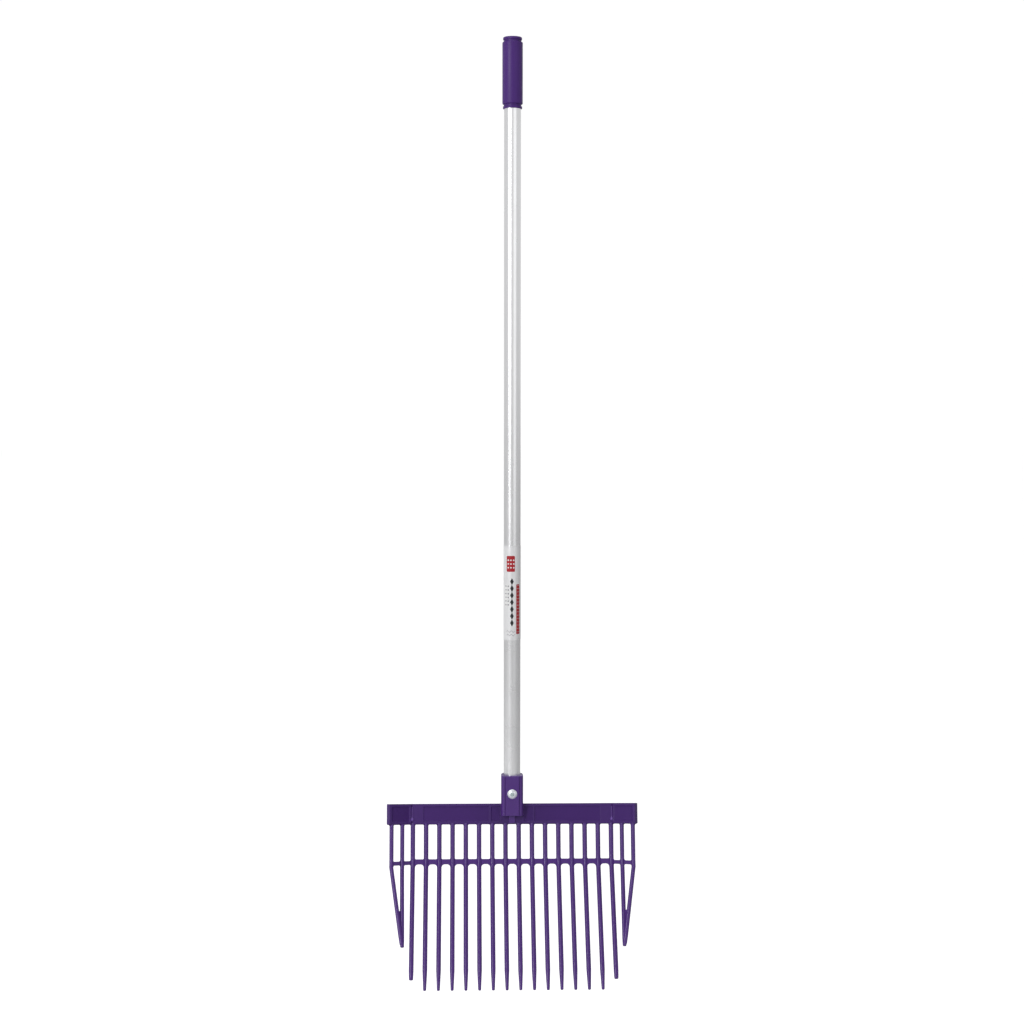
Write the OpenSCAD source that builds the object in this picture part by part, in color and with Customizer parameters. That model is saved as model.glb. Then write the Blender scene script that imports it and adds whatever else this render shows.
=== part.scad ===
// Manure fork: a moulded basket head with sixteen long tines, bolted to a straight tube with a push-on grip.
// Millimetres. +Z runs up the tube to the grip, and -Y is the front, the open side of the basket.
// The origin is on the tube's axis, at the height where a wall clip holds the fork.
// The head is one moulding. Each part of it that has a name is a solid of its own, touching the next.

/* [Tube] */
// Outside diameter of the tube
tube_d = 25; // [20:0.5:32]
// Wall of the tube
tube_wall = 1.5; // [1:0.1:3]
// Free length of the tube, from the socket's rim to the grip
tube_free = 995; // [600:5:1400]
// Length of the tube that sits in the socket
tube_seat = 56; // [40:1:58]
// Height of the wall clip above the socket's rim
clip_height = 405; // [100:5:600]

/* [Grip] */
// Wall of the grip round the tube
grip_wall = 2.5; // [2:0.1:6]
// Length of the plain barrel that the hand holds
grip_barrel_l = 90; // [60:1:140]
// Rounding at both ends of the barrel
grip_round = 1.6; // [0.5:0.1:1.6]
// Length of the groove at each end of the barrel
grip_groove_l = 3; // [1.5:0.1:6]
// Depth of both grooves below the barrel
grip_groove_depth = 1.7; // [0.5:0.1:1.9]
// Length of the collar at the grip's open end
grip_collar_l = 3.5; // [2:0.1:8]
// Step from the barrel down to the collar
grip_collar_step = 0.9; // [0.2:0.1:1.6]
// Length of the cap at the grip's closed end
grip_cap_l = 4.5; // [3:0.1:10]
// Step from the barrel down to the cap
grip_cap_step = 1.3; // [0.2:0.1:1.6]
// Rounding of the cap's edge
grip_cap_round = 1.2; // [0.4:0.1:2]
// Thickness of the closed end
grip_end_wall = 6; // [3:0.5:7]

/* [Label] */
// Height of the printed film on the tube
label_l = 142; // [60:1:200]
// Height of the film's lower edge above the socket's rim
label_base = 206; // [20:1:400]
// Angle of the tube that the film covers
label_angle = 250; // [120:5:340]
// Thickness of the film
label_t = 0.2; // [0.1:0.05:0.5]

/* [Socket] */
// Wall of the socket round the tube
socket_wall = 4; // [3:0.1:6]
// Rounding of the socket's upright corners
socket_corner = 5.5; // [3:0.1:8]
// Length of the socket from its rim to the ledge over the bar
socket_l = 61; // [60:0.5:64]
// Width of the raised flat on the socket's front
pad_w = 21; // [16:0.5:21]
// Height of the raised flat
pad_rise = 0.6; // [0.3:0.1:1.5]
// Depth of the bolt below the rim
bolt_drop = 27; // [18:0.5:34]

/* [Bolt] */
// Diameter of the bolt's shank
bolt_d = 6; // [5:0.5:8]
// Diameter of the domed head
bolt_head_d = 14.6; // [12:0.1:18]
// Height of the domed head
bolt_head_h = 3.8; // [3:0.1:5]
// Height of the head's straight edge below the dome
bolt_edge_h = 0.8; // [0.4:0.1:1.2]
// Length of the cross recess's arms, tip to tip
recess_l = 6.4; // [5:0.1:7]
// Width of the cross recess's arms
recess_w = 1.5; // [1:0.1:2]
// Depth of the cross recess
recess_depth = 2; // [1:0.1:2.4]
// Thread that shows past the nut
bolt_spare = 2; // [0.5:0.5:6]
// Width of the nut across its flats
nut_flats = 10; // [9:0.5:13]
// Height of the nut
nut_h = 5; // [4:0.1:7]
// Depth of the pocket that keeps the nut from turning
nut_pocket = 2.4; // [1:0.1:2.6]

/* [Bar] */
// Drop of the bar's lower edge below the socket's rim
bar_drop = 75.7; // [72:0.1:80]
// Distance of the bar's lower edge in front of the tube's axis
bar_reach = 6; // [2:0.5:9]
// Lean of the bar and the upper tines towards the front
bar_tilt = 12.8; // [5:0.1:20]
// Height of the bar
bar_h = 31; // [26:0.5:40]
// Thickness of the bar, front to back
bar_depth = 8; // [6:0.1:12]
// Height of the frame above and below the bar's panels
panel_border = 5.5; // [3:0.5:9]
// Depth of the panels below their frame, on both faces
panel_recess = 1.3; // [0.5:0.1:2]
// Plain strip of bar between the socket and the short panel beside it
panel_gap = 1; // [0.5:0.1:1.5]
// Distance from the socket to the long panel
panel_start = 17.5; // [5:0.5:40]
// Width of the ridge between the short panel and the long one
panel_ridge = 2.4; // [1.5:0.1:3]
// Plain length of bar beside the fold
panel_end = 18.3; // [4:0.1:40]

/* [Tines] */
// Number of full tines
tine_count = 16; // [8:2:16]
// Distance from tine to tine
tine_pitch = 20; // [16:0.5:22]
// Width of a tine
tine_w = 7; // [5:0.1:9]
// Thickness of a tine, front to back
tine_depth = 8.5; // [7.2:0.1:12]
// Length of the straight upper tines, from the bar to the corner of the bend
upper_l = 55.6; // [40:0.2:80]
// Length of the lower tines, from the corner of the bend to the tip
lower_l = 195.4; // [120:0.2:260]
// Length of the two outermost full tines, which are shorter
end_tine_l = 179.5; // [110:0.5:240]
// Lean of the lower tines towards the front
tine_lean = 34.55; // [24:0.05:45]
// Radius of the bend
bend_r = 60; // [45:1:90]
// How much thicker a tine is in its bend, per side
bend_swell = 0.2; // [0.15:0.05:0.5]
// Length of a full tine's tapered point
taper_l = 30; // [15:0.5:60]
// Width of a full tine's tip
tip_w = 4.3; // [3.2:0.1:5]
// Rounding of a full tine's tip
tip_round = 1.5; // [0.5:0.1:1.9]
// Width of the outermost tines' blunt tip
end_tip_w = 6; // [4:0.1:6.4]
// Length of the slight taper of every blunt tip
blunt_taper_l = 12; // [8:0.5:14]
// Rounding of every blunt tip
blunt_round = 1.3; // [0.4:0.1:1.9]

/* [Rib] */
// Height of the cross rib
rib_h = 7.3; // [4:0.1:10]
// Thickness of the cross rib, front to back
rib_depth = 4; // [2:0.1:6]
// Rounding under the rib, between full tines
arch_r = 4.7; // [1:0.1:5]
// Rounding of the other corners of the gaps
window_r = 1.6; // [0.5:0.1:3]

/* [Sides] */
// Forward fold of the bar's ends
fold = 36.4; // [15:0.1:50]
// Distance of the fold outside the middle of the outermost full tine
fold_out = 2.3; // [0:0.1:3]
// Length of the folded wing
wing_l = 42.5; // [41:0.1:56]
// Length of the wing beside the fold before its panel starts
wing_panel_start = 5; // [3:0.1:8]
// Width of the lip past the wing's panel
wing_lip = 4.7; // [2:0.1:8]
// Distance from the fold to the side tine, along the wing
side_tine_at = 16.6; // [15:0.1:18]
// Distance from the side tine to the side strut, along the wing
side_strut_gap = 19.5; // [18:0.1:20]
// Width of the side tine and the side strut
side_w = 6.2; // [5:0.1:7]
// Thickness of the side tine and the side strut, front to back
side_depth = 8.5; // [7.2:0.1:9]
// Width of the side tine's blunt tip
side_tip_w = 5.6; // [4:0.1:5.8]
// How much lower the bend of the side pieces lies than the full tines' bend
side_drop = 4.8; // [0:0.1:8]
// Height of the cross rib between the side pieces
side_rib_h = 5.3; // [3:0.1:8]
// Length of the side tine below the bend
side_l = 117; // [112:0.5:136]
// Lean of the side tine towards the middle
side_tine_lean = 1.25; // [0.5:0.05:2]
// Slant of the side strut towards the side tine
strut_slant = 10.5; // [9.5:0.1:11]
// Height of the strut's end above the side tine's tip
strut_stop = 3; // [2:0.5:8]
// Depth of the web's top edge below the bend
web_drop = 63.5; // [56:0.5:68]
// Thickness of the web in the side's point
web_depth = 3; // [1.5:0.1:5]

/* [Hidden] */
$fn = 64;
// Clearance round what is pushed in, per side
fit_gap = 0.1;
// Clearance round the bolt and nut, per side
bolt_gap = 0.25;
// How far a cut runs past the face that it opens
overrun = 1;
// How far a straight run reaches into the bend
bend_overlap = 0.3;
// Sides of a hexagon
hex = 6;

purple = "#4b2f79";
grip_purple = "#54367f";
satin = "#c9cacb";
zinc = "#c8ccd2";
film = "#e9e9ec";

tube_r = tube_d / 2;
rim_z = -clip_height;
grip_r = tube_r + fit_gap + grip_wall;
grip_l = grip_collar_l + 2 * grip_groove_l + grip_barrel_l + grip_cap_l;
grip_z = rim_z + tube_free;
tube_l = tube_seat + tube_free + grip_l - grip_end_wall;
bore_r = tube_r + fit_gap;
socket_r = bore_r + socket_wall;
pad_y = socket_r + pad_rise;
bolt_z = rim_z - bolt_drop;
nut_seat_y = socket_r - nut_pocket;
bend = tine_lean - bar_tilt;
bend_run = bend_r * tan(bend / 2);
bend_start = upper_l - bend_run;
end_tine_x = (tine_count - 1) / 2 * tine_pitch;
fold_x = end_tine_x + fold_out;
fold_back = bar_depth / 2 * tan(fold / 2);
strut_at = side_tine_at + side_strut_gap;
// Places across the head of the side tine and the side strut, which stand forward of the full tines
side_tine_x = fold_x + side_tine_at * cos(fold);
strut_x = fold_x + strut_at * cos(fold);
// Half the width of a side piece along the wing
side_half = side_w / 2 + (side_depth - side_w) / 2 * sin(fold);
// Room for a cut that must reach past the side tine and strut all round
side_cut = 2 * side_depth;

function tine_name(i) = str("tine_", i < 10 ? "0" : "", i);
function tine_x(i) = (i - 1) * tine_pitch - end_tine_x;
function is_end(i) = i == 1 || i == tine_count;

// Frames of the head: at the bar's lower edge, at the middle of the bend and below the bend

module head_frame() {
    translate([0, -bar_reach, rim_z - bar_drop]) rotate([-bar_tilt, 0, 0]) children();
}

module bent_frame(turn, drop = 0) {
    head_frame() translate([0, -bend_r, -bend_start - drop]) rotate([-turn, 0, 0])
        translate([0, bend_r, 0]) children();
}

module on_side(side) {
    mirror([side < 0 ? 1 : 0, 0, 0]) children();
}

module wing_frame() {
    translate([fold_x, 0, 0]) rotate([0, 0, -fold]) children();
}

// Shapes that repeat

// Section of a tine: width along X, thickness along Y, round at the front and back
module tine_section(w, depth) {
    square([w, depth - w], center = true);
    for (end = [-1, 1]) translate([0, end * (depth - w) / 2]) circle(d = w);
}

// Turned point that a tine's section is cut to: the taper reaches the tine's width at its named length
module point(lead, l, w, taper, tip, round_r) {
    slope = (w - tip) / 2 / (taper - round_r);
    top_r = w / 2 + (l - taper + lead) * slope;
    rotate_extrude() {
        polygon([[0, lead], [top_r, lead], [tip / 2, round_r - l], [0, round_r - l]]);
        translate([0, -l]) square([tip / 2 - round_r, 2 * round_r]);
        translate([tip / 2 - round_r, round_r - l]) intersection() {
            circle(round_r);
            translate([round_r - tip / 2, -round_r]) square([tip, 2 * round_r]);
        }
    }
}

// Straight run of a tine below the bend, with its point; lead is how far it reaches up into the bend
module tine_run(lead, l, w, depth, taper, tip, round_r) {
    intersection() {
        translate([0, 0, -l]) linear_extrude(l + lead) tine_section(w, depth);
        point(lead, l, w, taper, tip, round_r);
    }
}

// Straight run from the bar to the bend, and the bend, of a tine that stands at_x from the middle
// and forward of the head's middle plane
module upper_run(at_x, forward, w, depth, drop = 0) {
    l = bend_start + drop + bend_overlap;
    head_frame() {
        translate([at_x, -forward, -l]) linear_extrude(l) tine_section(w, depth);
        translate([at_x, -bend_r, -bend_start - drop]) rotate([-90, 0, 90]) rotate_extrude(angle = bend)
            translate([bend_r - forward, 0]) rotate(-90)
                tine_section(w + 2 * bend_swell, depth + 2 * bend_swell);
    }
}

// Fillets that round the two upper or lower corners of a gap of the given width
module corner_fillets(gap, r) {
    for (end = [-1, 1]) translate([end * gap / 2, 0]) difference() {
        translate([end > 0 ? -r : 0, -r]) square(r);
        translate([-end * r, -r]) circle(r);
    }
}

// Front view of the rib between two tines, with rounded corners above and below
module rib_outline(gap, h, under_r) {
    square([gap, h], center = true);
    translate([0, -h / 2]) corner_fillets(gap, under_r);
    translate([0, h / 2]) mirror([0, 1]) corner_fillets(gap, window_r);
}

// A front view drawn by the children, cut to a strip of the rib's thickness along the wing
module along_wing() {
    intersection() {
        rotate([90, 0, 0]) linear_extrude(2 * wing_l, center = true) children();
        wing_frame() translate([0, -rib_depth / 2, -bar_h / 2]) cube([wing_l, rib_depth, bar_h]);
    }
}

// The two gaps of a wing, narrowed by as much at each side: the child is drawn in the middle of each,
// half as much lowered in the inner gap as in the outer one
module in_wing_gaps(less, drop) {
    flats = [
        [end_tine_x + tine_w / 2, side_tine_x - side_w / 2],
        [side_tine_x + side_w / 2, strut_x - side_w / 2]
    ];
    for (k = [0 : len(flats) - 1]) {
        $gap = flats[k][1] - flats[k][0] - 2 * less;
        translate([(flats[k][0] + flats[k][1]) / 2, -drop * (k + 1) / len(flats)]) children();
    }
}

// Fillet under the bar at one side of a tine
module root_fillet(at_x, end) {
    translate([at_x + end * tine_w / 2, 0, 0]) rotate([90, 0, 0])
        linear_extrude(rib_depth, center = true) difference() {
            translate([end > 0 ? 0 : -window_r, -window_r]) square(window_r);
            translate([end * window_r, -window_r]) circle(window_r);
        }
}

// Recess of a panel from one place along a bar to another, on both faces
module panel_cut(from_x, to_x) {
    for (face = [-1, 1])
        translate([from_x, face * bar_depth / 2 - panel_recess, panel_border])
            cube([to_x - from_x, 2 * panel_recess, bar_h - 2 * panel_border]);
}

// Hole for the bolt, right through the socket and the tube in it
module bolt_hole() {
    translate([0, 0, bolt_z]) rotate([90, 0, 0])
        cylinder(r = bolt_d / 2 + bolt_gap, h = 2 * (pad_y + overrun), center = true);
}

// Handle

module tube() {
    color(satin) difference() {
        translate([0, 0, rim_z - tube_seat]) cylinder(d = tube_d, h = tube_l);
        translate([0, 0, rim_z - tube_seat - overrun])
            cylinder(r = tube_r - tube_wall, h = tube_l + 2 * overrun);
        bolt_hole();
    }
}

module grip() {
    groove_r = grip_r - grip_groove_depth;
    collar_r = grip_r - grip_collar_step;
    cap_r = grip_r - grip_cap_step;
    barrel_z = grip_collar_l + grip_groove_l;
    cap_z = barrel_z + grip_barrel_l + grip_groove_l;
    color(grip_purple) translate([0, 0, grip_z]) difference() {
        rotate_extrude() {
            square([groove_r, grip_l - grip_cap_round]);
            square([collar_r, grip_collar_l]);
            translate([0, barrel_z]) square([grip_r - grip_round, grip_barrel_l]);
            translate([0, barrel_z + grip_round]) square([grip_r, grip_barrel_l - 2 * grip_round]);
            for (end = [grip_round, grip_barrel_l - grip_round])
                translate([grip_r - grip_round, barrel_z + end]) circle(grip_round);
            translate([0, cap_z]) square([cap_r, grip_cap_l - grip_cap_round]);
            translate([0, cap_z]) square([cap_r - grip_cap_round, grip_cap_l]);
            translate([cap_r - grip_cap_round, grip_l - grip_cap_round]) circle(grip_cap_round);
        }
        translate([0, 0, -overrun]) cylinder(r = bore_r, h = grip_l - grip_end_wall + overrun);
    }
}

module label() {
    color(film) translate([0, 0, rim_z + label_base]) rotate(-90 - label_angle / 2)
        rotate_extrude(angle = label_angle) translate([tube_r + fit_gap, 0]) square([label_t, label_l]);
}

// Bolt and nut

module bolt() {
    dome_h = bolt_head_h - bolt_edge_h;
    dome_r = (pow(bolt_head_d / 2, 2) + pow(dome_h, 2)) / (2 * dome_h);
    shank_l = pad_y + nut_seat_y + nut_h + bolt_spare;
    color(zinc) translate([0, -pad_y, bolt_z]) rotate([90, 0, 0]) difference() {
        union() {
            translate([0, 0, -shank_l]) cylinder(d = bolt_d, h = shank_l + bolt_edge_h);
            cylinder(d = bolt_head_d, h = bolt_edge_h);
            intersection() {
                translate([0, 0, bolt_head_h - dome_r]) sphere(dome_r);
                translate([0, 0, bolt_edge_h]) cylinder(d = bolt_head_d, h = dome_h + overrun);
            }
        }
        for (turn = [45, 135])
            rotate(turn) translate([-recess_l / 2, -recess_w / 2, bolt_head_h - recess_depth])
                cube([recess_l, recess_w, recess_depth + overrun]);
    }
}

module nut_prism(across, h) {
    rotate([-90, 0, 0]) rotate(90) cylinder(d = across / cos(180 / hex), h = h, $fn = hex);
}

module nut() {
    color(zinc) translate([0, nut_seat_y, bolt_z]) difference() {
        nut_prism(nut_flats, nut_h);
        rotate([-90, 0, 0]) translate([0, 0, -overrun])
            cylinder(r = bolt_d / 2 + fit_gap, h = nut_h + 2 * overrun);
    }
}

// Moulded head

// Plan of the socket: square with rounded corners at the front, half round at the back
module socket_outline() {
    inner = socket_r - socket_corner;
    circle(socket_r);
    translate([-socket_r, -inner]) square([2 * socket_r, inner]);
    translate([-inner, -socket_r]) square([2 * inner, socket_r]);
    for (x = [-inner, inner]) translate([x, -inner]) circle(socket_corner);
}

module socket() {
    color(purple) difference() {
        union() {
            translate([0, 0, rim_z - socket_l]) linear_extrude(socket_l) {
                socket_outline();
                translate([-pad_w / 2, -pad_y]) square([pad_w, pad_y]);
            }
            head_frame() {
                translate([-socket_r, -bar_depth / 2, 0]) cube([2 * socket_r, bar_depth, bar_h]);
                for (i = [tine_count / 2, tine_count / 2 + 1], end = [-1, 1]) root_fillet(tine_x(i), end);
            }
        }
        translate([0, 0, rim_z - tube_seat]) cylinder(r = bore_r, h = tube_seat + overrun);
        bolt_hole();
        translate([0, nut_seat_y, bolt_z]) nut_prism(nut_flats + 2 * bolt_gap, nut_pocket + overrun);
    }
}

module bar(side) {
    color(purple) on_side(side) head_frame() {
        difference() {
            linear_extrude(bar_h) polygon([
                [socket_r, -bar_depth / 2], [fold_x - fold_back, -bar_depth / 2],
                [fold_x + fold_back, bar_depth / 2], [socket_r, bar_depth / 2]
            ]);
            panel_cut(socket_r + panel_gap, socket_r + panel_start - panel_ridge);
            panel_cut(socket_r + panel_start, fold_x - panel_end);
        }
        for (i = [tine_count / 2 + 2 : tine_count]) {
            root_fillet(tine_x(i), -1);
            if (!is_end(i)) root_fillet(tine_x(i), 1);
        }
    }
}

module wing(side) {
    color(purple) on_side(side) head_frame() {
        wing_frame() difference() {
            linear_extrude(bar_h) polygon([
                [fold_back, -bar_depth / 2], [wing_l, -bar_depth / 2],
                [wing_l, bar_depth / 2], [-fold_back, bar_depth / 2]
            ]);
            panel_cut(wing_panel_start, wing_l - wing_lip);
        }
        along_wing() in_wing_gaps(0, 0) corner_fillets($gap, window_r);
    }
}

module cross_rib() {
    color(purple) bent_frame(bend / 2) {
        for (i = [1 : tine_count - 1])
            translate([tine_x(i) + tine_pitch / 2, 0, 0]) rotate([90, 0, 0])
                linear_extrude(rib_depth, center = true)
                    rib_outline(tine_pitch - tine_w - 2 * bend_swell, rib_h, arch_r);
        for (side = [-1, 1]) on_side(side) along_wing()
            in_wing_gaps(bend_swell, side_drop) rib_outline($gap, side_rib_h, window_r);
    }
}

module tine(i) {
    l = (is_end(i) ? end_tine_l : lower_l) - bend_run;
    color(purple) {
        upper_run(tine_x(i), 0, tine_w, tine_depth);
        bent_frame(bend) translate([tine_x(i), 0, 0]) {
            if (is_end(i))
                tine_run(bend_overlap, l, tine_w, tine_depth, blunt_taper_l, end_tip_w, blunt_round);
            else
                tine_run(bend_overlap, l, tine_w, tine_depth, taper_l, tip_w, tip_round);
        }
    }
}

// Sides: the sections stay square to the head, and the runs below the bend lean in the wing's plane

// Frame below the bend of a side piece, turned so that its section stays square to the head
module side_frame(at, lean) {
    bent_frame(bend, side_drop) wing_frame() translate([at, 0, 0])
        rotate([0, lean, 0]) rotate(fold) children();
}

module side_tine(side) {
    lead = side_half * tan(side_tine_lean) + bend_overlap;
    color(purple) on_side(side) {
        upper_run(side_tine_x, side_tine_at * sin(fold), side_w, side_depth, side_drop);
        side_frame(side_tine_at, side_tine_lean)
            tine_run(lead, side_l, side_w, side_depth, blunt_taper_l, side_tip_w, blunt_round);
    }
}

// The strut slants in until it meets the side tine's flat side, and a thin web closes the point between them
module side_strut(side) {
    lead = side_half * tan(strut_slant) + bend_overlap;
    l = (side_l - strut_stop) / cos(strut_slant);
    web_x = strut_at - web_drop * tan(strut_slant);
    end_x = strut_at - side_l * tan(strut_slant);
    color(purple) on_side(side) {
        upper_run(strut_x, strut_at * sin(fold), side_w, side_depth, side_drop);
        difference() {
            union() {
                side_frame(strut_at, strut_slant)
                    translate([0, 0, -l]) linear_extrude(l + lead) tine_section(side_w, side_depth);
                bent_frame(bend, side_drop) wing_frame() rotate([90, 0, 0])
                    linear_extrude(web_depth, center = true)
                        polygon([[end_x, -web_drop], [web_x, -web_drop], [end_x, strut_stop - side_l]]);
            }
            side_frame(side_tine_at, side_tine_lean) translate([-side_cut, -side_cut, -side_l])
                cube([side_cut + side_w / 2, 2 * side_cut, side_l]);
        }
    }
}

tube();
grip();
label();
bolt();
nut();
socket();
bar(-1);  // bar_left
bar(1);  // bar_right
wing(-1);  // wing_left
wing(1);  // wing_right
cross_rib();
side_tine(-1);  // side_tine_left
side_tine(1);  // side_tine_right
side_strut(-1);  // side_strut_left
side_strut(1);  // side_strut_right
for (i = [1:tine_count]) tine(i);
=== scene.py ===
from math import cos, pi, radians, sin, tan

import bmesh
import bpy
from mathutils import Matrix, Vector


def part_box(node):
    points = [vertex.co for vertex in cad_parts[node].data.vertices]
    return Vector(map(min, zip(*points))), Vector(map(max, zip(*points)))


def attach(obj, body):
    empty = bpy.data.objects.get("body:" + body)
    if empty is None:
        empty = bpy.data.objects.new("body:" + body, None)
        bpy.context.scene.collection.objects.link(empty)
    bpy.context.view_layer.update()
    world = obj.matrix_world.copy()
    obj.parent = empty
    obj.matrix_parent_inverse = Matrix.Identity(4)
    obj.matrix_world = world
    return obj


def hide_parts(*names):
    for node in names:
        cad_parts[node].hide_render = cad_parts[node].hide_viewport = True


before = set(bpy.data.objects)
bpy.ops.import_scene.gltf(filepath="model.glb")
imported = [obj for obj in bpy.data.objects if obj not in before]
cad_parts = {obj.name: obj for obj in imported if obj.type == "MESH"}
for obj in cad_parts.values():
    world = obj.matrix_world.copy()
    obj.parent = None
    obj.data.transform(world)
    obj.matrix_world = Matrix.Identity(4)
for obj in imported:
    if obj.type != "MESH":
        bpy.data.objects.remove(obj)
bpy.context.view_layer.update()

# Tube
# The handle is one straight drawn aluminium tube with a satin skin and fine lines along its length.
# It is pushed into the socket below and into the grip above, so both of its ends are hidden.
mm = 0.001
touch = 0.001 * mm
tube_low, tube_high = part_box("tube")
tube_r = (tube_high.x - tube_low.x) / 2
tube_wall = 1.5 * mm


def spun(profile, closed=False, steps=96):
    bm = bmesh.new()
    spots = [bm.verts.new((radius, 0, z)) for radius, z in profile]
    lines = [bm.edges.new(pair) for pair in zip(spots, spots[1:])]
    if closed:
        lines.append(bm.edges.new((spots[-1], spots[0])))
    bmesh.ops.spin(bm, geom=spots + lines, cent=(0, 0, 0), axis=(0, 0, 1), angle=2 * pi, steps=steps,
                   use_merge=True)
    bmesh.ops.remove_doubles(bm, verts=bm.verts, dist=touch)
    return bm


def put_piece(name, bm, materials, node, crease=38):
    bm.normal_update()
    bmesh.ops.recalc_face_normals(bm, faces=bm.faces)
    for face in bm.faces:
        face.smooth = True
    for edge in bm.edges:
        edge.smooth = edge.calc_face_angle(0) < radians(crease)
    mesh = bpy.data.meshes.new(name)
    bm.to_mesh(mesh)
    bm.free()
    for material in materials:
        mesh.materials.append(material)
    piece = bpy.data.objects.new(name, mesh)
    bpy.context.collection.objects.link(piece)
    flats = piece.modifiers.new("even_flats", "WEIGHTED_NORMAL")
    flats.keep_sharp = True
    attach(piece, "root")
    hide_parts(node)


def add_node(tree, kind, links=(), **values):
    node = tree.nodes.new(kind)
    for key, value in values.items():
        setattr(node, key, value)
    for socket, source in links:
        if hasattr(source, "is_output"):
            tree.links.new(source, node.inputs[socket])
        else:
            node.inputs[socket].default_value = source
    return node


def object_place(tree):
    return add_node(tree, "ShaderNodeTexCoord").outputs["Object"]


def noise(tree, place, scale, detail):
    links = [("Vector", place), ("Scale", scale), ("Detail", detail)]
    return add_node(tree, "ShaderNodeTexNoise", links).outputs[0]


def calc(tree, operation, *values):
    return add_node(tree, "ShaderNodeMath", list(enumerate(values)), operation=operation).outputs[0]


def vector_calc(tree, operation, *values):
    return add_node(tree, "ShaderNodeVectorMath", list(enumerate(values)), operation=operation).outputs


def map_range(tree, value, from_low, from_high, to_low=0.0, to_high=1.0):
    ends = list(enumerate((value, from_low, from_high, to_low, to_high)))
    return add_node(tree, "ShaderNodeMapRange", ends).outputs[0]


def spread(tree, texture, low, high):
    usual_low, usual_high = 0.3, 0.7
    return map_range(tree, texture, usual_low, usual_high, low, high)


def blend(tree, share, first, second):
    return add_node(tree, "ShaderNodeMix", [(0, share), (6, first), (7, second)], data_type="RGBA").outputs[2]


def fine_bump(tree, height, strength, depth=0.1 * mm):
    links = [("Strength", strength), ("Distance", depth), ("Height", height)]
    return add_node(tree, "ShaderNodeBump", links).outputs[0]


def new_group(name, inputs, outputs):
    group = bpy.data.node_groups.new(name, "ShaderNodeTree")
    for label, kind in inputs:
        group.interface.new_socket(label, in_out="INPUT", socket_type="NodeSocket" + kind)
    for label, kind in outputs:
        group.interface.new_socket(label, in_out="OUTPUT", socket_type="NodeSocket" + kind)
    return group, group.nodes.new("NodeGroupInput"), group.nodes.new("NodeGroupOutput")


def new_material(name):
    material = bpy.data.materials.new(name)
    material.use_nodes = True
    shader = material.node_tree.nodes["Principled BSDF"]
    return material, material.node_tree, shader


def dress(tree, shader, colour, roughness, normal):
    tree.links.new(colour, shader.inputs["Base Color"])
    tree.links.new(roughness, shader.inputs["Roughness"])
    tree.links.new(normal, shader.inputs["Normal"])


# Edge wear: a mask that is white in patches along corners, where hands and bedding rub
rubbed, rubbed_in, rubbed_out = new_group("rubbed_edges", [("Width", "Float")], [("Wear", "Float")])
soft = add_node(rubbed, "ShaderNodeBevel", [("Radius", rubbed_in.outputs["Width"])], samples=4).outputs[0]
flat = add_node(rubbed, "ShaderNodeNewGeometry").outputs["Normal"]
turn = vector_calc(rubbed, "DOT_PRODUCT", soft, flat)["Value"]
corners = map_range(rubbed, turn, from_low=0.99, from_high=0.8)
patches = noise(rubbed, object_place(rubbed), scale=90.0, detail=3.0)
patches = map_range(rubbed, patches, from_low=0.38, from_high=0.62, to_low=0.15)
rubbed.links.new(calc(rubbed, "MULTIPLY", corners, patches), rubbed_out.inputs["Wear"])


def edge_wear(tree, width):
    group = add_node(tree, "ShaderNodeGroup", node_tree=rubbed)
    group.inputs["Width"].default_value = width
    return group.outputs["Wear"]


satin_dark, satin_light, satin_rubbed = (0.84, 0.845, 0.86, 1), (0.92, 0.92, 0.93, 1), (0.95, 0.95, 0.955, 1)
satin, tree, shader = new_material("satin_aluminium")
place = object_place(tree)
drawn = add_node(tree, "ShaderNodeMapping", [("Vector", place), ("Scale", (1600.0, 1600.0, 5.0))])
draw_lines = noise(tree, drawn.outputs[0], scale=1.0, detail=2.0)
tone = blend(tree, draw_lines, satin_dark, satin_light)
tone = blend(tree, edge_wear(tree, width=0.5 * mm), tone, satin_rubbed)
cloud = noise(tree, place, scale=14.0, detail=3.0)
bump = fine_bump(tree, draw_lines, strength=0.06)
dress(tree, shader, tone, spread(tree, cloud, low=0.25, high=0.31), bump)
shader.inputs["Metallic"].default_value = 1.0

wall_section = [(tube_r, tube_low.z), (tube_r, tube_high.z),
                (tube_r - tube_wall, tube_high.z), (tube_r - tube_wall, tube_low.z)]
put_piece("handle_tube", spun(wall_section, closed=True), [satin], "tube")

# Label
# A thin printed film is wrapped round the lower tube and stuck down, with a gap left open at the back.
# Its print is a plain design in red, black and grey on a pale ground: a block, diamonds, dots and waves.
label_low, label_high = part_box("label")
film_t, glue_t = 0.2 * mm, 0.1 * mm
film_r = tube_r + glue_t
film_angle = radians(250)
film_start = radians(-90) - film_angle / 2
film_corners = [(film_r, label_low.z), (film_r + film_t, label_low.z),
                (film_r + film_t, label_high.z), (film_r, label_high.z)]
bm = bmesh.new()
film_end = bm.faces.new([bm.verts.new((radius * cos(film_start), radius * sin(film_start), z))
                         for radius, z in film_corners])


def with_rim(face):
    return [face, *face.edges, *face.verts]


bmesh.ops.spin(bm, geom=with_rim(film_end), cent=(0, 0, 0), axis=(0, 0, 1), angle=film_angle, steps=80)

film, tree, shader = new_material("label_film")
place = object_place(tree)


def film_calc(operation, *values):
    return calc(film.node_tree, operation, *values)


# Place on the film in millimetres: u to the right of its middle, v up from its lower edge
split = add_node(tree, "ShaderNodeSeparateXYZ", [(0, place)]).outputs
round_tube = film_calc("ARCTAN2", split[0], film_calc("MULTIPLY", split[1], -1.0))
u = film_calc("MULTIPLY", round_tube, film_r / mm)
v = film_calc("MULTIPLY", film_calc("SUBTRACT", split[2], label_low.z), 1 / mm)


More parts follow.
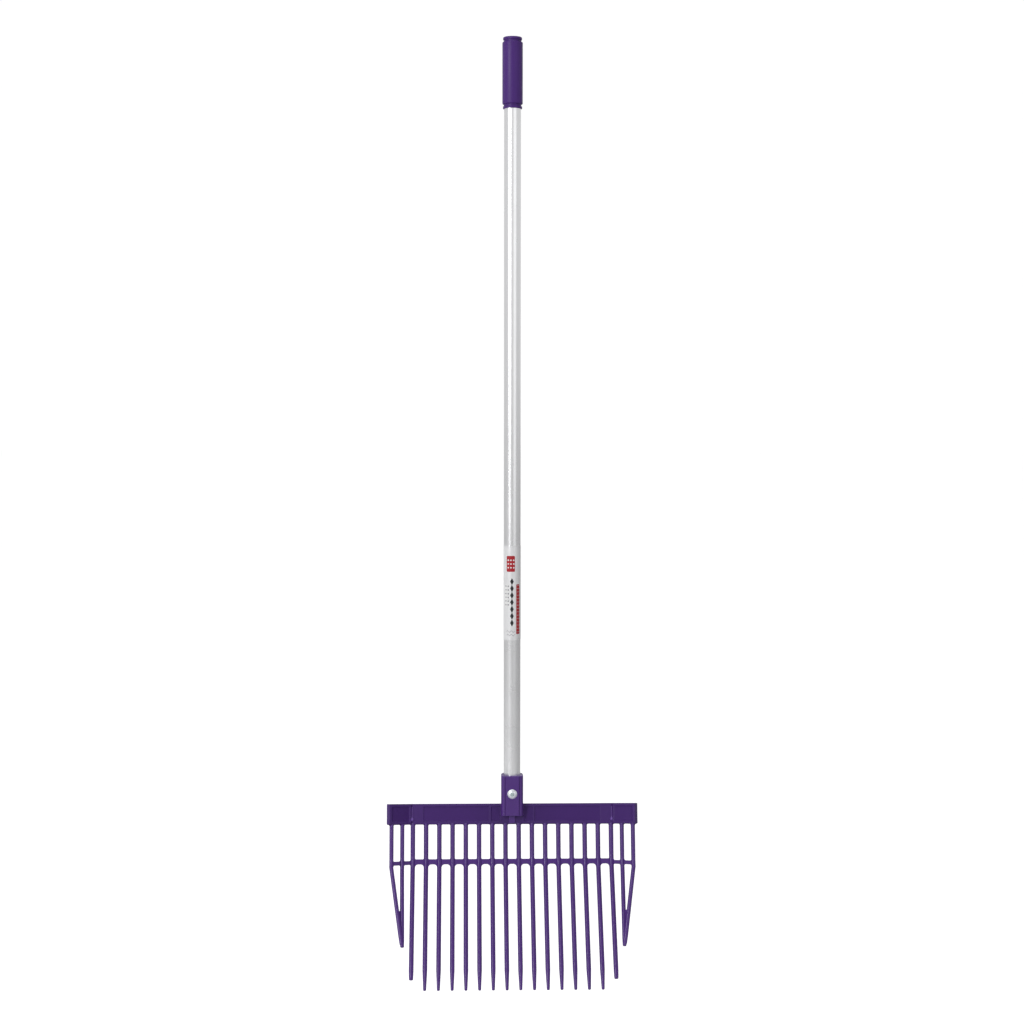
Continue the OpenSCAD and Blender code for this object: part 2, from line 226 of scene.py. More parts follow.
def in_circle(off_u, off_v, radius):
    square = film_calc("ADD", film_calc("MULTIPLY", off_u, off_u), film_calc("MULTIPLY", off_v, off_v))
    return film_calc("LESS_THAN", square, radius ** 2)


def past_ends(value, low, high):
    off_middle = film_calc("ABSOLUTE", film_calc("SUBTRACT", value, (low + high) / 2))
    return film_calc("MAXIMUM", film_calc("SUBTRACT", off_middle, (high - low) / 2), 0.0)


def block_mask(left, right, low, high, corner):
    off_u = past_ends(u, left + corner, right - corner)
    off_v = past_ends(v, low + corner, high - corner)
    return in_circle(off_u, off_v, corner)


def from_middle(value, period):
    part = film_calc("SUBTRACT", film_calc("FRACT", film_calc("DIVIDE", value, period)), 0.5)
    return film_calc("MULTIPLY", film_calc("ABSOLUTE", part), period)


def dots(period_u, period_v, radius, block):
    spots = in_circle(from_middle(u, period_u), from_middle(v, period_v), radius)
    return film_calc("MULTIPLY", spots, block)


red, black = (0.46, 0.012, 0.022, 1), (0.015, 0.015, 0.018, 1)
grey, pale = (0.3, 0.3, 0.33, 1), (0.9, 0.9, 0.9, 1)
ground_light, ground_dark, film_rubbed = (0.93, 0.93, 0.94, 1), (0.88, 0.88, 0.9, 1), (0.8, 0.79, 0.76, 1)
foil = 0.3
diamond_u, diamond_w, diamond_h, diamond_gap = -0.6, 2.7, 5.6, 10.4
wave_turn, wave_rise, wave_gap, wave_line = 1.1, 1.1, 5.2, 0.35
sideways = film_calc("DIVIDE", film_calc("ABSOLUTE", film_calc("SUBTRACT", u, diamond_u)), diamond_w)
upwards = film_calc("DIVIDE", from_middle(v, diamond_gap), diamond_h)
diamonds = film_calc("LESS_THAN", film_calc("ADD", sideways, upwards), 1.0)
chain = film_calc("MULTIPLY", diamonds, block_mask(left=-3.4, right=3.4, low=21, high=93, corner=0.5))
wave = film_calc("MULTIPLY", film_calc("SINE", film_calc("MULTIPLY", u, wave_turn)), wave_rise)
crests = film_calc("LESS_THAN", from_middle(film_calc("ADD", v, wave), wave_gap), wave_line)
waves = film_calc("MULTIPLY", crests, block_mask(left=-9, right=4, low=4, high=16, corner=0.5))
red_block = block_mask(left=-9, right=4, low=103, high=127, corner=1.8)
red_column = block_mask(left=6, right=12.6, low=9, high=84, corner=1.2)
plaque = block_mask(left=-14, right=-4.2, low=50, high=84, corner=1.2)
plaque_inside = block_mask(left=-12.8, right=-4.4, low=50.6, high=83.8, corner=0.5)
block_inside = block_mask(left=-8.4, right=4.2, low=106, high=124, corner=0.8)
fibre = noise(tree, place, scale=300.0, detail=3.0)
ink = blend(tree, fibre, ground_light, ground_dark)
ink = blend(tree, chain, ink, black)
ink = blend(tree, red_column, ink, red)
ink = blend(tree, dots(period_u=2.2, period_v=5.0, radius=0.5, block=red_column), ink, pale)
ink = blend(tree, plaque, ink, pale)
ink = blend(tree, dots(period_u=4.2, period_v=5.6, radius=1.1, block=plaque_inside), ink, grey)
ink = blend(tree, red_block, ink, red)
ink = blend(tree, dots(period_u=4.2, period_v=5.6, radius=1.2, block=block_inside), ink, pale)
ink = blend(tree, waves, ink, grey)
ink = blend(tree, edge_wear(tree, width=0.3 * mm), ink, film_rubbed)
inked = film_calc("MAXIMUM", film_calc("MAXIMUM", chain, red_column), film_calc("MAXIMUM", plaque, red_block))
bare_foil = film_calc("SUBTRACT", foil, film_calc("MULTIPLY", inked, foil))
tree.links.new(bare_foil, shader.inputs["Metallic"])
dress(tree, shader, ink, spread(tree, fibre, low=0.30, high=0.38), fine_bump(tree, fibre, strength=0.05))
put_piece("label_film", bm, [film], "label")

# Grip
# The grip is one soft plastic sleeve with a closed end, pushed over the tube.
# It has a plain barrel between two grooves, a collar at its mouth and a cap at its end.
grip_low, grip_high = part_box("grip")
grip_r = (grip_high.x - grip_low.x) / 2
push_gap = 0.1 * mm
bore_r = tube_r + push_gap
bore_end = tube_high.z + push_gap
collar_l, groove_l, cap_l = 3.5 * mm, 3 * mm, 3.8 * mm
collar_r, groove_r, cap_r = grip_r - 0.9 * mm, grip_r - 2.2 * mm, grip_r - 1.1 * mm
barrel_round, collar_round, cap_foot_round, cap_top_round = 1.6 * mm, 0.6 * mm, 0.5 * mm, 1.2 * mm
collar_z = grip_low.z + collar_l
barrel_z = collar_z + groove_l
cap_z = grip_high.z - cap_l
barrel_end = cap_z - groove_l


def round_edges(bm, edges, width, steps):
    bmesh.ops.bevel(bm, geom=edges, offset=width, offset_type="OFFSET", segments=steps, profile=0.5,
                    affect="EDGES", material=-1, clamp_overlap=True)


def rings_at(bm, radius, heights):
    return [edge for edge in bm.edges for z in heights
            if all(abs(vert.co.xy.length - radius) < touch and abs(vert.co.z - z) < touch
                   for vert in edge.verts)]


# Moulded plastic: a slow drift of the tint from the flow of the melt, a painted shade that darkens the bar
# towards the socket in its middle, a fine grain that the mould leaves in the skin, a little change of gloss,
# and paler, duller rubbed corners
moulded, skin_in, skin_out = new_group(
    "moulded_skin",
    [("Tint", "Color"), ("Shade", "Color"), ("Rubbed", "Color"), ("Wear", "Float"), ("Gloss low", "Float"),
     ("Gloss high", "Float"), ("Grain", "Float"), ("Painted shade", "Float")],
    [("Color", "Color"), ("Roughness", "Float"), ("Normal", "Vector")])
# Painted shade: the colour that the bar's tint darkens to near the socket, and where that shade starts and
# ends
painted_shade_tint = (0.035, 0.0095, 0.10, 1)
painted_shade_edge, painted_shade_reach = 18 * mm, 75 * mm
grain_depth, worn_dullness = 0.2 * mm, 0.12
place = object_place(moulded)
flow = noise(moulded, place, scale=26.0, detail=3.0)
grain = noise(moulded, place, scale=1500.0, detail=2.0)
# Painted shade: the tint darkens towards the middle of the bar, where the socket stands
off_middle = calc(moulded, "ABSOLUTE", add_node(moulded, "ShaderNodeSeparateXYZ", [(0, place)]).outputs[0])
painted_shade_share = map_range(moulded, off_middle, painted_shade_edge, painted_shade_reach, skin_in.outputs["Painted shade"], 0.0)
tone = blend(moulded, flow, skin_in.outputs["Tint"], skin_in.outputs["Shade"])
tone = blend(moulded, painted_shade_share, tone, painted_shade_tint)
tone = blend(moulded, skin_in.outputs["Wear"], tone, skin_in.outputs["Rubbed"])
gloss = spread(moulded, flow, skin_in.outputs["Gloss low"], skin_in.outputs["Gloss high"])
gloss = calc(moulded, "MULTIPLY_ADD", skin_in.outputs["Wear"], worn_dullness, gloss)
bump = fine_bump(moulded, grain, skin_in.outputs["Grain"], grain_depth)
moulded.links.new(tone, skin_out.inputs["Color"])
moulded.links.new(gloss, skin_out.inputs["Roughness"])
moulded.links.new(bump, skin_out.inputs["Normal"])


def plastic(name, tint, shade, rough, grain, shine, painted_shade=0.0):
    material, tree, shader = new_material(name)
    skin = add_node(tree, "ShaderNodeGroup", node_tree=moulded)
    rubbed_gain, rubbed_lift = 1.3, 0.008
    rubbed_tint = [rubbed_gain * part + rubbed_lift for part in tint]
    for label, colour in (("Tint", tint), ("Shade", shade), ("Rubbed", rubbed_tint)):
        skin.inputs[label].default_value = (*colour, 1)
    for label, value in (("Gloss low", rough[0]), ("Gloss high", rough[1]), ("Grain", grain), ("Painted shade", painted_shade)):
        skin.inputs[label].default_value = value
    tree.links.new(edge_wear(tree, width=0.6 * mm), skin.inputs["Wear"])
    dress(tree, shader, skin.outputs["Color"], skin.outputs["Roughness"], skin.outputs["Normal"])
    shader.inputs["Specular IOR Level"].default_value = shine
    return material


grip_plastic = plastic("grip_plastic", tint=(0.076, 0.023, 0.202), shade=(0.068, 0.020, 0.185),
                       rough=(0.38, 0.48), grain=0.25, shine=0.28)
bm = spun([(0, bore_end), (bore_r, bore_end), (bore_r, grip_low.z), (collar_r, grip_low.z),
           (collar_r, collar_z), (groove_r, collar_z), (groove_r, barrel_z), (grip_r, barrel_z),
           (grip_r, barrel_end), (groove_r, barrel_end), (groove_r, cap_z), (cap_r, cap_z),
           (cap_r, grip_high.z), (0, grip_high.z)])
round_edges(bm, rings_at(bm, grip_r, (barrel_z, barrel_end)), barrel_round, steps=6)
round_edges(bm, rings_at(bm, collar_r, (grip_low.z, collar_z)), collar_round, steps=4)
round_edges(bm, rings_at(bm, cap_r, (cap_z,)), cap_foot_round, steps=3)
round_edges(bm, rings_at(bm, cap_r, (grip_high.z,)), cap_top_round, steps=5)
put_piece("grip_sleeve", bm, [grip_plastic], "grip", crease=50)

# Bolt and nut
# A domed bolt with a cross recess goes through the socket and the tube, and a nut holds it at the back.
# Both are bright zinc-plated steel. Round the axis they are painted darker and greener: painted shade
# of the cross recess.
# They keep the shapes of their solids and only get their finish here.
nut_low, nut_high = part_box("nut")
bolt_axis = (0, 0, (nut_low.z + nut_high.z) / 2)
across_bolt = (1, 0, 1)
recess_r, ring_r = 2.6 * mm, 4.2 * mm
zinc_dark, zinc_light = (0.86, 0.90, 0.95, 1), (0.92, 0.95, 0.98, 1)
zinc_recess_shade, zinc_rubbed = (0.55, 0.64, 0.65, 1), (0.93, 0.93, 0.92, 1)
zinc, tree, shader = new_material("zinc_plate")
place = object_place(tree)
spangle = noise(tree, place, scale=420.0, detail=3.0)
off_axis = vector_calc(tree, "MULTIPLY", vector_calc(tree, "SUBTRACT", place, bolt_axis)[0], across_bolt)[0]
# Painted shade of the cross recess: darker, greener zinc within a ring round the bolt's axis
recess_shade = map_range(tree, vector_calc(tree, "LENGTH", off_axis)["Value"], ring_r, recess_r)
tone = blend(tree, spangle, zinc_dark, zinc_light)
tone = blend(tree, recess_shade, tone, zinc_recess_shade)
tone = blend(tree, edge_wear(tree, width=0.4 * mm), tone, zinc_rubbed)
dress(tree, shader, tone, spread(tree, spangle, low=0.36, high=0.46), fine_bump(tree, spangle, strength=0.1))
shader.inputs["Metallic"].default_value = 1.0
for name in ("bolt", "nut"):
    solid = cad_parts[name]
    solid.data.materials.clear()
    solid.data.materials.append(zinc)

# Socket
# The head is one plastic moulding. Its socket is a column round the foot of the tube, square at the front and
# half round behind, with a raised flat for the bolt's head. It stands on the middle of the bar.
rim_z, socket_l, socket_r = -405 * mm, 61 * mm, 16.6 * mm
corner_r, back_r, rim_round, foot_round = 5.5 * mm, 0.999 * socket_r, 2.8 * mm, 1.1 * mm
pad_w, pad_rise, pad_slope = 21 * mm, 0.6 * mm, 0.6 * mm
groove_w, groove_depth, groove_slope = 1.4 * mm, 1.3 * mm, 0.3 * mm
rim_edge, rim_flat, rim_cuts = 0.2 * mm, 4 * mm, 15
bar_h, bar_depth, bar_ahead, bar_drop = 31 * mm, 8 * mm, 6 * mm, 75.7 * mm
bar_round, under_r, window_r, fillet_half = 0.7 * mm, 2 * mm, 1.6 * mm, 3 * mm
tab_low, tab_high = (-4.6 * mm, -5.6 * mm, 1.5 * mm), (4.6 * mm, 4.8 * mm, 16 * mm)
tab_round = 0.8 * mm
pitch, count, tine_w = 20 * mm, 16, 7 * mm
slack = 0.01 * mm
bar_tilt = radians(12.8)
head_at = Matrix.Translation((0, -bar_ahead, rim_z - bar_drop)) @ Matrix.Rotation(-bar_tilt, 4, "X")
head_plastic = plastic("head_plastic", tint=(0.091, 0.027, 0.240), shade=(0.082, 0.023, 0.222),
                       rough=(0.27, 0.35), grain=0.12, shine=0.52)
# Painted shade: the bar's plastic is a darker copy of the head's, as the flat bar catches less light
bar_shaded_plastic = plastic("bar_shaded_plastic", tint=(0.066, 0.019, 0.178), shade=(0.060, 0.017, 0.164),
                      rough=(0.36, 0.44), grain=0.15, shine=0.36, painted_shade=0.4)


def box_shell(low, high):
    shell = bmesh.new()
    bmesh.ops.create_cube(shell, size=1.0)
    size, middle = Vector(high) - Vector(low), (Vector(high) + Vector(low)) / 2
    bmesh.ops.scale(shell, vec=size, verts=shell.verts)
    bmesh.ops.translate(shell, vec=middle, verts=shell.verts)
    return shell


def facing(bm, way, least=0.999):
    bm.normal_update()
    return [face for face in bm.faces if face.normal.dot(Vector(way)) > least]


def spans(edge, axis):
    ends = [vert.co["xyz".index(axis)] for vert in edge.verts]
    return abs(ends[0] - ends[1]) > mm


def join(bm, shell, at, material_index=0):
    shell.transform(at)
    for face in shell.faces:
        face.material_index = max(face.material_index, material_index)
    mesh = bpy.data.meshes.new("shell")
    shell.to_mesh(mesh)
    shell.free()
    bm.from_mesh(mesh)
    bpy.data.meshes.remove(mesh)


def pull(bm, face, step):
    made = bmesh.ops.extrude_face_region(bm, geom=with_rim(face))["geom"]
    end_face = next(item for item in made if isinstance(item, bmesh.types.BMFace))
    bmesh.ops.translate(bm, vec=step, verts=end_face.verts)
    return end_face


def plate(outline, half):
    shell = bmesh.new()
    front = shell.faces.new([shell.verts.new((x, -half, z)) for x, z in outline])
    pull(shell, front, (0, 2 * half, 0))
    return shell


def arc(x, z, radius, first, last, steps=6):
    turns = [radians(first + (last - first) * k / steps) for k in range(steps + 1)]
    return [(x + radius * cos(a), z + radius * sin(a)) for a in turns]


def corner_fillet(x, way, half):
    hidden = 0.4 * mm
    curve = [(x + way * across, z) for across, z in arc(window_r, -window_r, window_r, 90, 180)]
    return plate([(x, hidden), (x + way * window_r, hidden)] + curve, half)


bm = box_shell((-socket_r, -socket_r, rim_z - socket_l), (socket_r, socket_r, rim_z))
round_edges(bm, [edge for edge in bm.edges if spans(edge, "z") and edge.verts[0].co.y < 0], corner_r, steps=8)
round_edges(bm, [edge for edge in bm.edges if spans(edge, "z")
                 and all(vert.co.y > socket_r - slack for vert in edge.verts)], back_r, steps=16)
round_edges(bm, list(facing(bm, (0, 0, 1))[0].edges), rim_round, steps=6)
round_edges(bm, list(facing(bm, (0, 0, -1))[0].edges), foot_round, steps=3)
for x in (-pad_w / 2 - groove_w, -pad_w / 2, pad_w / 2, pad_w / 2 + groove_w):
    front = facing(bm, (0, -1, 0))
    lines = {edge for face in front for edge in face.edges}
    spots = {vert for face in front for vert in face.verts}
    bmesh.ops.bisect_plane(bm, geom=front + list(lines) + list(spots), dist=touch, plane_co=(x, 0, 0),
                           plane_no=(1, 0, 0))
for face in facing(bm, (0, -1, 0)):
    past_pad = abs(face.calc_center_median().x) - pad_w / 2
    if 0 < past_pad < groove_w:
        bmesh.ops.inset_individual(bm, faces=[face], thickness=groove_slope, depth=-groove_depth)
    elif past_pad < 0:
        bmesh.ops.inset_individual(bm, faces=[face], thickness=pad_slope, depth=pad_rise)
rim = facing(bm, (0, 0, 1))[0]
long_edges = [edge for edge in rim.edges if edge.calc_length() > rim_flat]
bmesh.ops.subdivide_edges(bm, edges=long_edges, cuts=rim_cuts)
rim = facing(bm, (0, 0, 1))[0]
bmesh.ops.inset_individual(bm, faces=[rim], thickness=rim_edge)
for vert in rim.verts:
    vert.co.xy = vert.co.xy.normalized() * bore_r
pull(bm, rim, (0, 0, tube_low.z - rim_z - push_gap))

shell = box_shell((-socket_r, -bar_depth / 2, 0), (socket_r, bar_depth / 2, bar_h))
round_edges(shell, [edge for edge in shell.edges if spans(edge, "x")
                    and edge.verts[0].co.z > mm], bar_round, steps=3)
round_edges(shell, [edge for edge in shell.edges if spans(edge, "x")
                    and all(vert.co.z < slack for vert in edge.verts)], under_r, steps=4)
join(bm, shell, head_at, 1)
shell = box_shell(tab_low, tab_high)
round_edges(shell, shell.edges[:], tab_round, steps=3)
join(bm, shell, head_at)
for x in (-pitch / 2, pitch / 2):
    for way in (-1, 1):
        join(bm, corner_fillet(x + way * tine_w / 2, way, fillet_half), head_at, 1)
put_piece("head_socket", bm, [head_plastic, bar_shaded_plastic], "socket")

# Bar and wings
# The bar runs to both sides of the socket, with a short and a long sunk panel between its borders. Each end
# folds forward as a wing with a panel of its own and a bead down the fold that ends in a ball, painted paler
# as a highlight.
# All edges are rounded, as on any moulding.
border, recess = 5.5 * mm, 1.3 * mm
short_start, short_end, long_start, long_stop = 1 * mm, 15.1 * mm, 17.5 * mm, 18.3 * mm
wing_start, wing_stop = 5 * mm, 4.7 * mm
fold, wing_l, past_tine = radians(36.4), 42.5 * mm, 2.3 * mm
end_x = (count - 1) / 2 * pitch
fold_x = end_x + past_tine
mitre = bar_depth / 2 * tan(fold / 2)
wing_at = Matrix.Translation((fold_x, 0, 0)) @ Matrix.Rotation(-fold, 4, "Z")
as_made, flip = Matrix.Identity(4), Matrix.Scale(-1, 4, (1, 0, 0))
bar_panels = [(socket_r + short_start, socket_r + short_end), (socket_r + long_start, fold_x - long_stop)]
wing_panels = [(wing_start, wing_l - wing_stop)]
# Painted shade: the sunk panels' plastic is a still darker copy of the head's
panel_shaded_plastic = plastic("panel_shaded_plastic", tint=(0.064, 0.019, 0.172), shade=(0.058, 0.017, 0.158),
                        rough=(0.44, 0.54), grain=0.2, shine=0.26, painted_shade=0.4)
# Painted highlight: the ball's plastic is a paler copy of the head's, so that it shows as a glint
ball_highlight_plastic = plastic("ball_highlight_plastic", tint=(0.19, 0.09, 0.42), shade=(0.17, 0.08, 0.40),
                       rough=(0.27, 0.35), grain=0.12, shine=0.52)


def panelled(ends, mitres, panels, joined):
    bm = box_shell((ends[0], -bar_depth / 2, 0), (ends[1], bar_depth / 2, bar_h))
    middle = sum(ends) / 2
    for vert in bm.verts:
        vert.co.x += mitres[vert.co.x > middle] * vert.co.y / (bar_depth / 2)
    for inner, outer in zip(panels, panels[1:]):
        bmesh.ops.bisect_plane(bm, geom=bm.verts[:] + bm.edges[:] + bm.faces[:], dist=touch,
                               plane_co=((inner[1] + outer[0]) / 2, 0, 0), plane_no=(1, 0, 0))
    for face in facing(bm, (0, -1, 0)) + facing(bm, (0, 1, 0)):
        centre = face.calc_center_median().x
        panel = min(panels, key=lambda places: abs(sum(places) / 2 - centre))
        bmesh.ops.inset_individual(bm, faces=[face], thickness=border)
        for vert in face.verts:
            vert.co.x = panel[vert.co.x > centre]
        bmesh.ops.inset_individual(bm, faces=[face], thickness=recess, depth=-recess)
        face.material_index = 1

    def at_joint(edge):
        for end, slant, is_joined in zip(ends, mitres, joined):
            gaps = [abs(vert.co.x - end - slant * vert.co.y / (bar_depth / 2)) for vert in edge.verts]
            if is_joined and max(gaps) < 2 * slack:
                return True
        return False

    sharp, shortest = radians(20), 0.1 * mm

    def is_corner(edge, low):
        is_low = all(vert.co.z < under_r + slack for vert in edge.verts)
        return is_low == low and edge.calc_face_angle(0) > sharp and not at_joint(edge)

    round_edges(bm, [edge for edge in bm.edges if is_corner(edge, True)], under_r, steps=4)
    bm.normal_update()
    round_edges(bm, [edge for edge in bm.edges if is_corner(edge, False) and edge.calc_length() > shortest],
                bar_round, steps=3)
    return bm


def fold_back(shell):
    for vert in shell.verts:
        vert.co.y -= (vert.co.x - fold_x) * tan(fold)
    return shell


side_w, side_at, strut_at, wing_fillet_half = 6.2 * mm, 16.6 * mm, 36.1 * mm, 2 * mm
side_x, strut_x = fold_x + side_at * cos(fold), fold_x + strut_at * cos(fold)
wing_flats = [(end_x + tine_w / 2, 1), (side_x - side_w / 2, -1), (side_x + side_w / 2, 1),
              (strut_x - side_w / 2, -1), (strut_x + side_w / 2, 1)]
# Radius and height in millimetres at each step up the bead and the ball
bead = [(0, 9.0), (1.0, 9.6), (1.0, 25.0), (0.7, 26.0), (0, 26.4)]
ball = [(0, 5.0), (1.5, 5.4), (2.4, 7.2), (2.0, 9.0), (1.0, 10.2), (0, 10.4)]
bead_at = Matrix.Translation((fold_x - mitre, -bar_depth / 2, 0))
sides = (("left", flip), ("right", as_made))
for side, mirror in sides:
    bm = panelled((socket_r, fold_x), (0, mitre), bar_panels, (True, True))
    for i in range(count // 2 + 1, count):
        x = (i + 0.5 - count / 2) * pitch
        join(bm, corner_fillet(x - tine_w / 2, -1, fillet_half), as_made)
        if i < count - 1:
            join(bm, corner_fillet(x + tine_w / 2, 1, fillet_half), as_made)
    bm.transform(mirror @ head_at)
    put_piece("bar_" + side + "_panel", bm, [bar_shaded_plastic, panel_shaded_plastic], "bar_" + side)

    bm = panelled((0, wing_l), (-mitre, 0), wing_panels, (True, False))
    bm.transform(wing_at)
    for material_index, profile in ((2, bead), (3, ball)):
        shell = spun([(radius * mm, z * mm) for radius, z in profile], steps=16)
        join(bm, shell, bead_at, material_index)
    for x, way in wing_flats:
        join(bm, fold_back(corner_fillet(x, way, wing_fillet_half)), as_made)
    bm.transform(mirror @ head_at)
    finishes = [bar_shaded_plastic, panel_shaded_plastic, head_plastic, ball_highlight_plastic]
    put_piece("wing_" + side + "_panel", bm, finishes, "wing_" + side)

# Cross rib
# One thin rib ties all tines together at the middle of their bend, set back from their fronts.
# It arches into each tine from below, has small rounded corners above, and drops a little on the wings.
rib_h, rib_depth, arch_r, sink = 7.3 * mm, 4 * mm, 4.7 * mm, 0.6 * mm
side_drop, side_rib_h, rib_slope = 4.8 * mm, 5.3 * mm, tan(radians(9))
bend_r, bend_drop, tine_lean = 60 * mm, 55.6 * mm, radians(34.55)
bend = tine_lean - bar_tilt
bend_run = bend_r * tan(bend / 2)
bend_start = bend_drop - bend_run


def bent(turn, drop=0.0):
    centre = Matrix.Translation((0, -bend_r, -bend_start - drop))
    return centre @ Matrix.Rotation(-turn, 4, "X") @ Matrix.Translation((0, bend_r, 0))


def rib_plate(left, right, height, under, half):
    top, foot = height / 2, -height / 2
    outline = arc(left + under, foot - under, under, 180, 90)
    outline += arc(right - under, foot - under, under, 90, 0)
    outline += [(right + sink, foot - under), (right + sink, top + window_r)]
    outline += arc(right - window_r, top + window_r, window_r, 0, -90)
    outline += arc(left + window_r, top + window_r, window_r, -90, -180)
    return plate(outline + [(left - sink, top + window_r), (left - sink, foot - under)], half)


bm = bmesh.new()
half_gap = (pitch - tine_w) / 2
for i in range(count - 1):
    x = (i + 1 - count / 2) * pitch
    join(bm, rib_plate(x - half_gap, x + half_gap, rib_h, arch_r, rib_depth / 2), bent(bend / 2))
for side, mirror in sides:
    for k in (0, 2):
        left, right = wing_flats[k][0], wing_flats[k + 1][0]
        shell = fold_back(rib_plate(left, right, side_rib_h, window_r, rib_depth / 2 / cos(fold)))
        for vert in shell.verts:
            vert.co.z -= side_drop * (k + 2) / 4 + rib_slope * (vert.co.x - (left + right) / 2)
        join(bm, shell, mirror @ bent(bend / 2))
bm.transform(head_at)
put_piece("cross_rib_arches", bm, [head_plastic], "cross_rib")

# Full tines
# Sixteen long tines hang from the bar, bend forward at the rib and run to tapered points.
# Their section is rounded at the front and back, and the outermost two are shorter and blunt.
tine_depth, tine_sides, bend_steps = 8.5 * mm, 20, 10
root_l, root_narrow, root_shallow = 4 * mm, 0.9, 0.85
taper_l, tip_w, tip_round = 30 * mm, 4.3 * mm, 1.5 * mm
blunt_taper, end_tip_w, blunt_round = 12 * mm, 6 * mm, 1.3 * mm
lower_l, end_l = 195.3 * mm - bend_run, 179.5 * mm - bend_run


def tine(x, y, drop, width, lower_turn, length, taper, tip, round_r):
    bm = bmesh.new()
    bmesh.ops.create_circle(bm, cap_ends=True, segments=tine_sides, radius=width / 2 / cos(pi / tine_sides),
                            matrix=Matrix.Rotation(pi / tine_sides, 4, "Z"))
    for vert in bm.verts:
        vert.co += Vector((x, y + (tine_depth - width) / 2 * (1 if vert.co.y > 0 else -1), root_l))
    bm.faces.ensure_lookup_table()
    face = bm.faces[0]
    root = list(face.verts)
    face = pull(bm, face, (0, 0, -root_l))
    bmesh.ops.scale(bm, vec=(root_narrow, root_shallow, 1), space=Matrix.Translation((-x, -y, 0)), verts=root)
    face = pull(bm, face, (0, 0, -bend_start - drop))
    last = bmesh.ops.spin(bm, geom=with_rim(face), cent=(x, -bend_r, -bend_start - drop), axis=(1, 0, 0),
                          angle=-bend, steps=bend_steps)["geom_last"]
    face = next(item for item in last if isinstance(item, bmesh.types.BMFace))
    way = lower_turn @ Vector((0, 0, -1))
    turned = Matrix.Rotation(bend, 4, "X")
    shrink = taper * (tine_depth - tip) / (width - tip)
    for step, narrow, shallow in ((length - shrink, 1, 1), (shrink - taper, 1, width / tine_depth),
                                  (taper, tip / width, tip / width)):
        face = pull(bm, face, way * step)
        middle = face.calc_center_median()
        bmesh.ops.scale(bm, vec=(narrow, shallow, 1), space=turned @ Matrix.Translation(-middle),
                        verts=face.verts)
    round_edges(bm, list(face.edges), round_r, steps=4)
    return bm


straight = Matrix.Rotation(-bend, 3, "X")
for i in range(1, count + 1):
    x = (i - (count + 1) / 2) * pitch
    shape = (lower_l, taper_l, tip_w, tip_round)
    if i in (1, count):
        shape = (end_l, blunt_taper, end_tip_w, blunt_round)
    bm = tine(x, 0, 0, tine_w, straight, *shape)
    bm.transform(head_at)
    name = "tine_%02d" % i
    put_piece(name + "_moulded", bm, [head_plastic], name, crease=60)

# Side tines and struts
# Each wing carries a short blunt tine and a strut that slants in to join it in a point.
# A small web fills the notch where the two meet.
side_l, side_lean, side_tip_w = 117 * mm, radians(1.25), 5.6 * mm
strut_slant, strut_stop = radians(10.5), 3 * mm
strut_l = (side_l - strut_stop) / cos(strut_slant)
web_top, web_foot, web_half = 63.5 * mm, 86 * mm, 1.5 * mm
web = [(at - z * tan(lean), -z) for at, lean, z in (
    (side_at, side_lean, web_top), (strut_at, strut_slant, web_top),
    (strut_at, strut_slant, web_foot), (side_at, side_lean, web_foot))]
for side, mirror in sides:
    for name, at, lean, length in (("side_tine_", side_at, side_lean, side_l),
                                   ("side_strut_", strut_at, strut_slant, strut_l)):
        turn = straight @ Matrix.Rotation(-fold, 3, "Z") @ Matrix.Rotation(lean, 3, "Y")
        x, y = fold_x + at * cos(fold), -at * sin(fold)
        bm = tine(x, y, side_drop, side_w, turn, length, blunt_taper, side_tip_w, blunt_round)
        if at == strut_at:
            join(bm, plate(web, web_half), bent(bend, side_drop) @ wing_at)
        bm.transform(mirror @ head_at)
        put_piece(name + side + "_moulded", bm, [head_plastic], name + side, crease=60)

# Floor, light and camera
# A plain pale floor lies well below the tines, in a white room with soft light from the sides and above.
# The camera stands where the photograph was taken from.
floor_z, floor_size = -1.0, 60
floor_white, floor_shine_left, floor_shine_right, shine_reach = 0.775, 0.28, 0.12, 3.0
bpy.ops.mesh.primitive_plane_add(size=floor_size, location=(0, 0, floor_z))
floor = bpy.context.object
floor.name = "floor"
paper, tree, shader = new_material("floor_paper")
shader.inputs["Base Color"].default_value = (0.85, 0.85, 0.85, 1)
shader.inputs["Roughness"].default_value = 0.9
shader.inputs["Emission Color"].default_value = (1, 1, 1, 1)
# To glossy rays the floor also glows, more on the left: painted light that shows only in reflections
seen = add_node(tree, "ShaderNodeLightPath").outputs
across = add_node(tree, "ShaderNodeSeparateXYZ", [(0, object_place(tree))]).outputs[0]
shine = map_range(tree, across, -shine_reach, shine_reach, floor_shine_left, floor_shine_right)
shine = calc(tree, "MULTIPLY", seen["Is Glossy Ray"], shine)
glow = calc(tree, "MULTIPLY_ADD", seen["Is Camera Ray"], floor_white, shine)
tree.links.new(glow, shader.inputs["Emission Strength"])
floor.data.materials.append(paper)

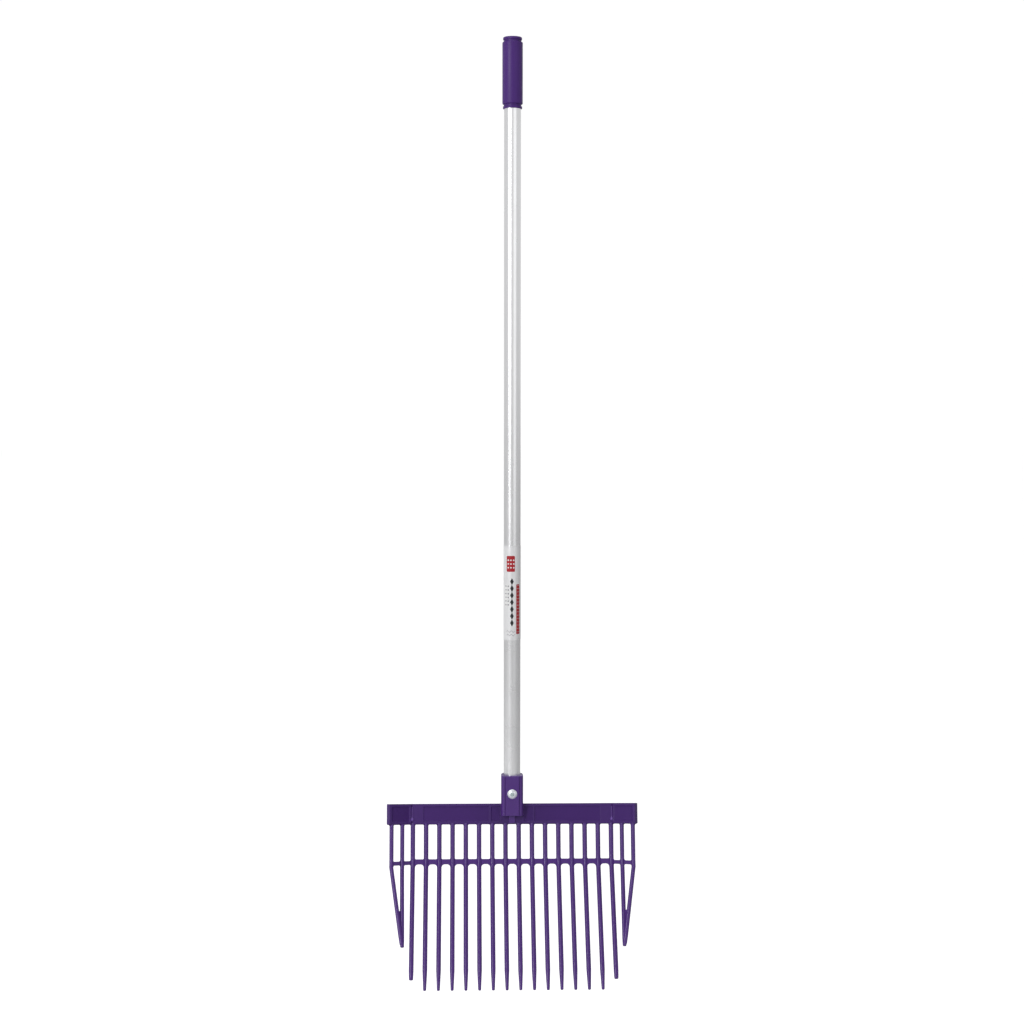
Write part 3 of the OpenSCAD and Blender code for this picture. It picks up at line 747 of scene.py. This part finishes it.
room_light, room_white = 0.25, 0.76
wall_low, wall_high, wall_shine, ceiling_shine = 0.2, 0.6, 0.47, 0.10
world = bpy.data.worlds.new("studio")
bpy.context.scene.world = world
world.use_nodes = True
tree = world.node_tree
room = tree.nodes["Background"]
seen = add_node(tree, "ShaderNodeLightPath").outputs
clear = calc(tree, "MAXIMUM", seen["Is Camera Ray"], seen["Is Transmission Ray"])
way = add_node(tree, "ShaderNodeTexCoord").outputs["Generated"]
height = add_node(tree, "ShaderNodeSeparateXYZ", [(0, way)]).outputs[2]
walls = map_range(tree, height, wall_low, wall_high, wall_shine, ceiling_shine)
level = calc(tree, "MULTIPLY_ADD", seen["Is Glossy Ray"], walls, room_light)
level = calc(tree, "MULTIPLY_ADD", clear, room_white, level)
tree.links.new(level, room.inputs["Strength"])
room.inputs["Color"].default_value = (1, 1, 1, 1)


def add_light(name, place, aim, width, height, power):
    lamp = bpy.data.lights.new(name, "AREA")
    lamp.shape = "RECTANGLE"
    lamp.size = width
    lamp.size_y = height
    lamp.energy = power
    light = bpy.data.objects.new(name, lamp)
    light.location = place
    light.rotation_euler = (Vector(aim) - Vector(place)).to_track_quat("-Z", "Y").to_euler()
    bpy.context.collection.objects.link(light)
    return light


tube_middle = (0, 0, -0.1)
add_light("key", (-1.7, -2.2, 1.0), tube_middle, width=0.65, height=1.8, power=33.5)
side_lamp = add_light("side", (-2.4, 0.9, 0.2), tube_middle, width=2.6, height=3.2, power=22)
side_lamp.visible_glossy = False
add_light("fill", (1.6, -2.5, 0.6), tube_middle, width=2.0, height=2.2, power=6.5)
add_light("top", (0.0, -0.6, 2.4), (0, 0, -0.2), width=1.6, height=1.2, power=12)

frame_px, focal_px, shift_px, sensor_mm = 1024, 1800, -0.2, 36
camera_place, camera_aim, camera_roll = (-0.0682, -2.6938, 0.1776), (0, 0, -0.007), radians(0.05)
lens = bpy.data.cameras.new("camera")
lens.sensor_width = sensor_mm
lens.lens = focal_px / frame_px * sensor_mm
lens.shift_x = shift_px / frame_px
lens.clip_end = 100
camera = bpy.data.objects.new("camera", lens)
camera.location = camera_place
ahead = (Vector(camera_aim) - Vector(camera_place)).to_track_quat("-Z", "Y").to_matrix().to_4x4()
camera.rotation_euler = (ahead @ Matrix.Rotation(camera_roll, 4, "Z")).to_euler()
bpy.context.collection.objects.link(camera)
bpy.context.scene.camera = camera
bpy.context.scene.view_settings.view_transform = "Standard"
